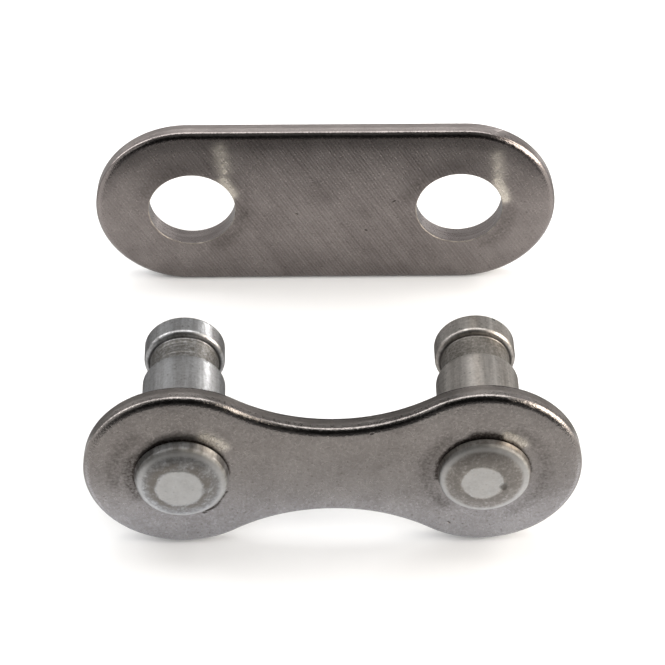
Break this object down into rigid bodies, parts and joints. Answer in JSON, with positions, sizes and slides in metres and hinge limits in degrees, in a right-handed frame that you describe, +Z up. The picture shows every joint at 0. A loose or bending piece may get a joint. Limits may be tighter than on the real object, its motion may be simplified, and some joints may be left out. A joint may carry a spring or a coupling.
{
  "type": "chain connecting link",
  "caption": "Connecting link for a half-inch roller chain: a waisted plate with two riveted, grooved pins, and a loose outer plate.",
  "frame": {"origin": "midway between the two pin axes, on the inner face of the pin plate", "axes": "+X along the chain, +Y along the pins from the rivet heads to the free ends, +Z up across the plates, which stand on their lower edges"},
  "size_m": [0.0212, 0.0194, 0.0086],
  "materials": {
    "pin_plate_nickel": "satin nickel plating, fine grain",
    "snap_plate_nickel": "nickel plating over slanting brush lines",
    "pin_steel": "turned and ground bright steel, peened at one end"
  },
  "bodies": {
    "pin_link": {"pin_plate": "pin_plate_nickel", "pin_left": "pin_steel", "pin_right": "pin_steel"},
    "loose_plate": {"snap_plate": "snap_plate_nickel"}
  },
  "joints": [
    {"name": "plate_slide", "type": "slide", "parent": "pin_link", "child": "loose_plate", "axis": [0, 1, 0], "range_m": [-0.0121, 0]}
  ]
}
